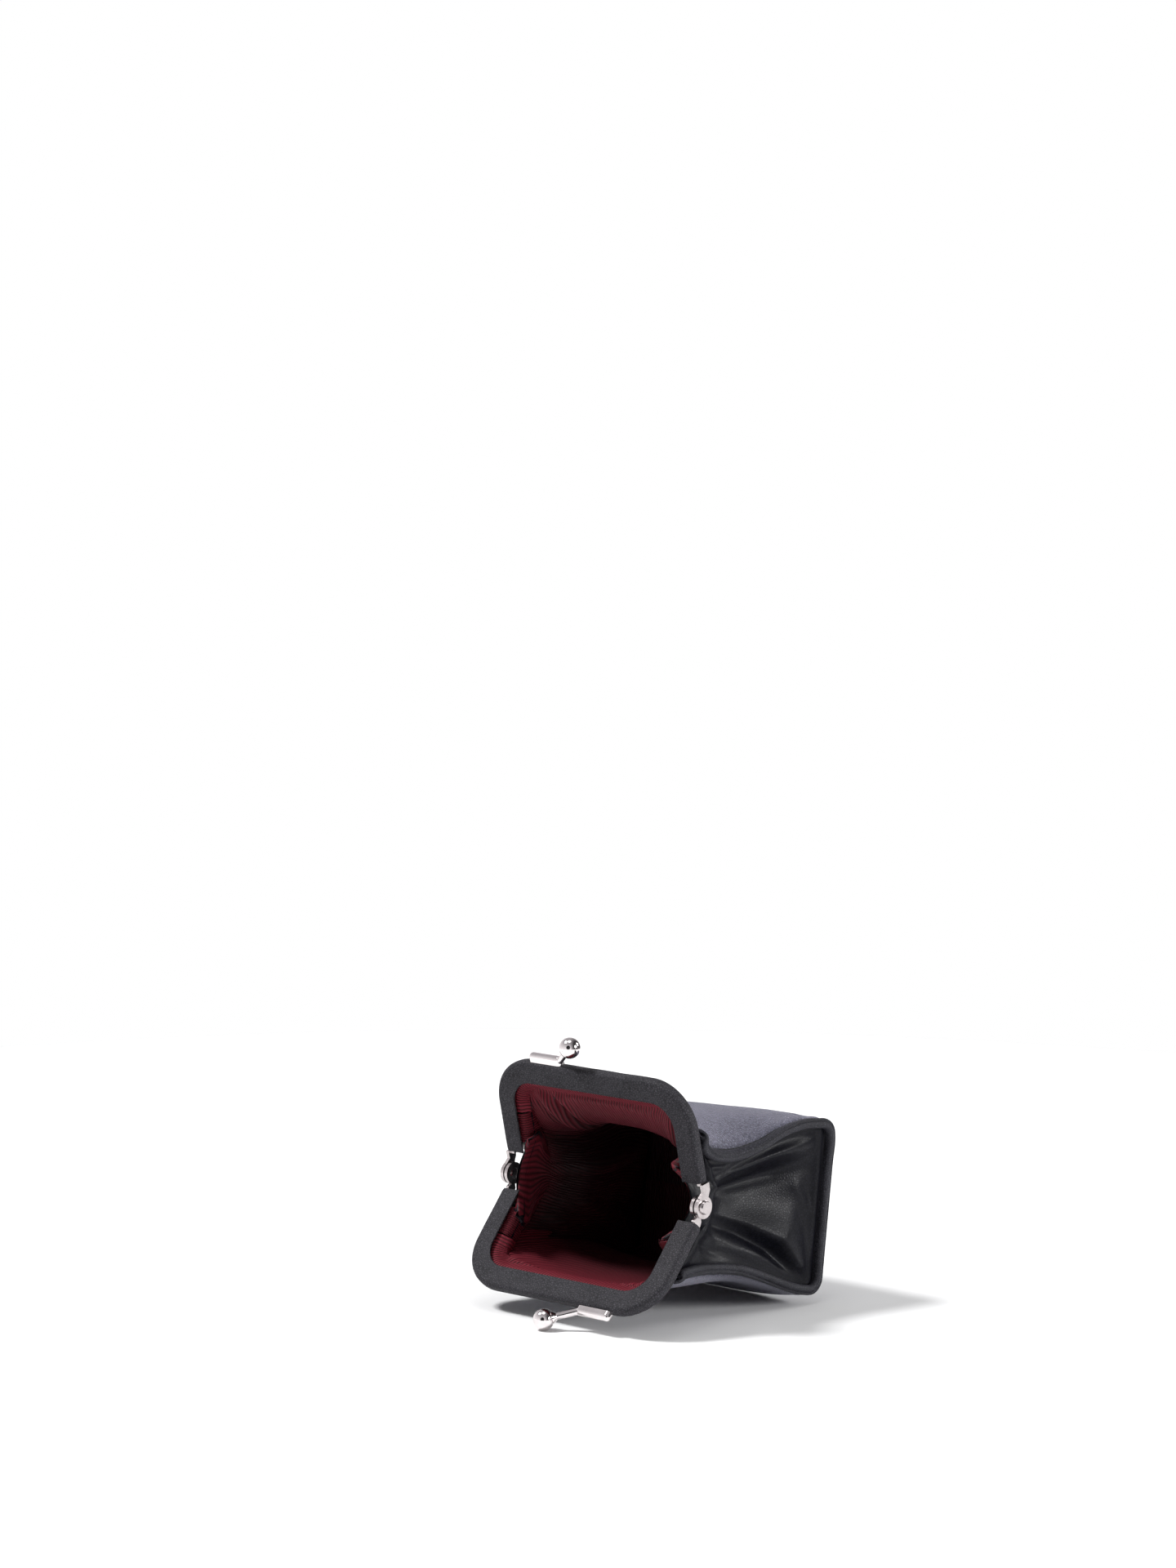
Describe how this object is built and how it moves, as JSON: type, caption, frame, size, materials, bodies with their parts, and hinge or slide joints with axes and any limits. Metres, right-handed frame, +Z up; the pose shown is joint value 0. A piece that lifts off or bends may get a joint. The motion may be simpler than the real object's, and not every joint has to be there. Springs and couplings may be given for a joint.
{
  "type": "coin purse",
  "caption": "Small leather purse with a hinged metal frame, ball clasp, side gussets and ribbed fabric lining, lying open.",
  "frame": {"origin": "under the middle of the whole open purse, on the surface it lies on", "axes": "+X along the hinge line, +Y from the mouth towards the purse's bottom, +Z up"},
  "size_m": [0.0744, 0.088, 0.0774],
  "materials": {
    "cover_leather": "smooth, slightly matte",
    "bag_leather": "fine pebble grain",
    "gusset_leather": "soft, slightly glossy",
    "lining_fabric": "ribbed weave",
    "nickel": "polished nickel",
    "frame_steel": "plain, hidden in the leather",
    "paper": "twisted paper cord and board"
  },
  "bodies": {
    "bag_back": {"back_panel": "bag_leather", "back_lining": "lining_fabric", "gusset_left": "gusset_leather", "gusset_right": "gusset_leather", "gusset_lining_left": "lining_fabric", "gusset_lining_right": "lining_fabric"},
    "bag_bottom": {"bottom_panel": "bag_leather", "bottom_lining": "lining_fabric", "bottom_board": "paper"},
    "bag_front": {"front_panel": "bag_leather", "front_lining": "lining_fabric"},
    "lower_arm": {"lower_frame_cover": "cover_leather", "lower_frame_channel": "frame_steel", "lower_channel_cord": "paper", "lower_hinge_plate_left": "nickel", "lower_hinge_plate_right": "nickel", "lower_clasp_strip": "nickel", "lower_clasp_ball": "nickel", "hinge_rivet_left": "nickel", "hinge_rivet_right": "nickel"},
    "upper_arm": {"upper_frame_cover": "cover_leather", "upper_frame_channel": "frame_steel", "upper_channel_cord": "paper", "upper_hinge_plate_left": "nickel", "upper_hinge_plate_right": "nickel", "upper_clasp_strip": "nickel", "upper_clasp_ball": "nickel"}
  },
  "joints": [
    {"name": "frame_hinge", "type": "hinge", "parent": "lower_arm", "child": "upper_arm", "pos_m": [0, -0.014, 0.03445], "axis": [1, 0, 0], "range_deg": [0, 127], "deforming": ["front_panel", "bottom_panel", "back_panel", "gusset_left", "gusset_right", "front_lining", "bottom_lining", "back_lining", "gusset_lining_left", "gusset_lining_right"]},
    {"name": "lower_arm_fold", "type": "hinge", "parent": "bag_back", "child": "lower_arm", "pos_m": [0, -0.03017, 0.01138], "axis": [1, 0, 0], "range_deg": [-40, 0.5]},
    {"name": "bottom_fold", "type": "hinge", "parent": "bag_back", "child": "bag_bottom", "pos_m": [0, 0.0384, 0.0007], "axis": [1, 0, 0], "range_deg": [-0.5, 25]},
    {"name": "front_fold", "type": "hinge", "parent": "bag_bottom", "child": "bag_front", "pos_m": [0, 0.0433, 0.0502], "axis": [1, 0, 0], "range_deg": [-0.5, 19]}
  ],
  "couplings": [
    {"joint": "lower_arm_fold", "follows": "frame_hinge", "ratio": -0.31339},
    {"joint": "bottom_fold", "follows": "frame_hinge", "ratio": 0.18433},
    {"joint": "front_fold", "follows": "frame_hinge", "ratio": 0.14764}
  ]
}
